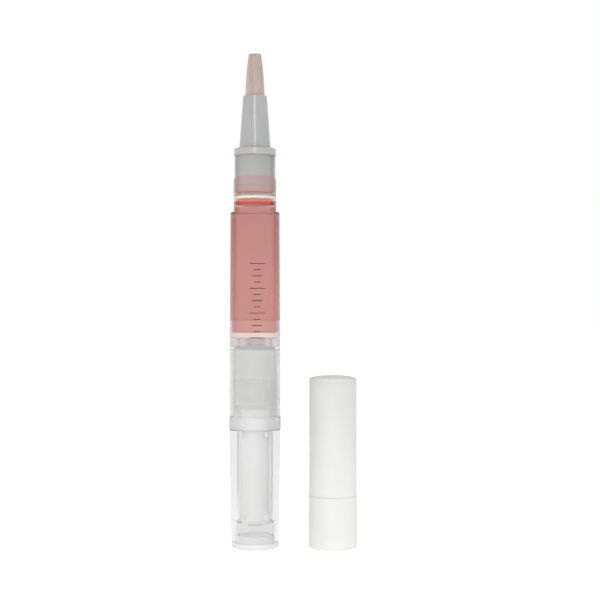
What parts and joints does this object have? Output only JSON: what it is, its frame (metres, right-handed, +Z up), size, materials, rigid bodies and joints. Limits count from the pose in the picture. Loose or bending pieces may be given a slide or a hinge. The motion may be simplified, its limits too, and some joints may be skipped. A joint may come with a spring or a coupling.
{
  "type": "nail oil pen",
  "caption": "Slim twist-up pen for nail oil: clear barrel with a tapered brush head, clear twist knob at the foot, and a frosted round cap standing beside it.",
  "frame": {"origin": "the pen's axis at its base, on the plane that it stands on", "axes": "+Z up along the pen's axis from the base to the brush, +X from the pen towards the cap that stands beside it"},
  "size_m": [0.0273, 0.011, 0.1051],
  "materials": {
    "clear_plastic": "polished clear",
    "white_plastic": "satin moulded white",
    "natural_plastic": "satin moulded natural",
    "milky_plastic": "milky, translucent",
    "frosted_plastic": "frosted, translucent",
    "bristle": "fine filament",
    "silicone": "soft translucent",
    "nail_oil": "clear pink liquid"
  },
  "bodies": {
    "barrel": {"barrel": "clear_plastic", "brush_holder": "white_plastic", "feed_tube": "natural_plastic", "bristles": "bristle", "lower_sleeve": "clear_plastic", "rod_nut": "natural_plastic", "ratchet_ring": "natural_plastic", "bearing_ring": "clear_plastic", "drag_ring": "silicone", "oil": "nail_oil", "oil_in_neck": "nail_oil"},
    "knob": {"knob": "clear_plastic", "end_plug": "clear_plastic", "drive_tube": "white_plastic", "click_ring": "natural_plastic"},
    "push_rod": {"push_rod": "white_plastic"},
    "piston": {"piston": "milky_plastic", "oil_in_piston": "nail_oil"},
    "cap": {"cap": "frosted_plastic"}
  },
  "joints": [
    {"name": "knob_turn", "type": "hinge", "parent": "barrel", "child": "knob", "pos_m": [0, 0, 0], "axis": [0, 0, 1], "range_deg": [0, 3240]},
    {"name": "rod_feed", "type": "slide", "parent": "knob", "child": "push_rod", "axis": [0, 0, 1], "range_m": [0, 0.0216]},
    {"name": "piston_feed", "type": "slide", "parent": "barrel", "child": "piston", "axis": [0, 0, 1], "range_m": [0, 0.0216], "deforming": ["oil"]},
    {"name": "cap_lift", "type": "slide", "parent": "barrel", "child": "cap", "axis": [0, 0, 1], "range_m": [0, 0.04]}
  ],
  "couplings": [
    {"joint": "knob_turn", "follows": "piston_feed", "rad_per_m": 2618},
    {"joint": "rod_feed", "follows": "piston_feed", "ratio": 1}
  ]
}
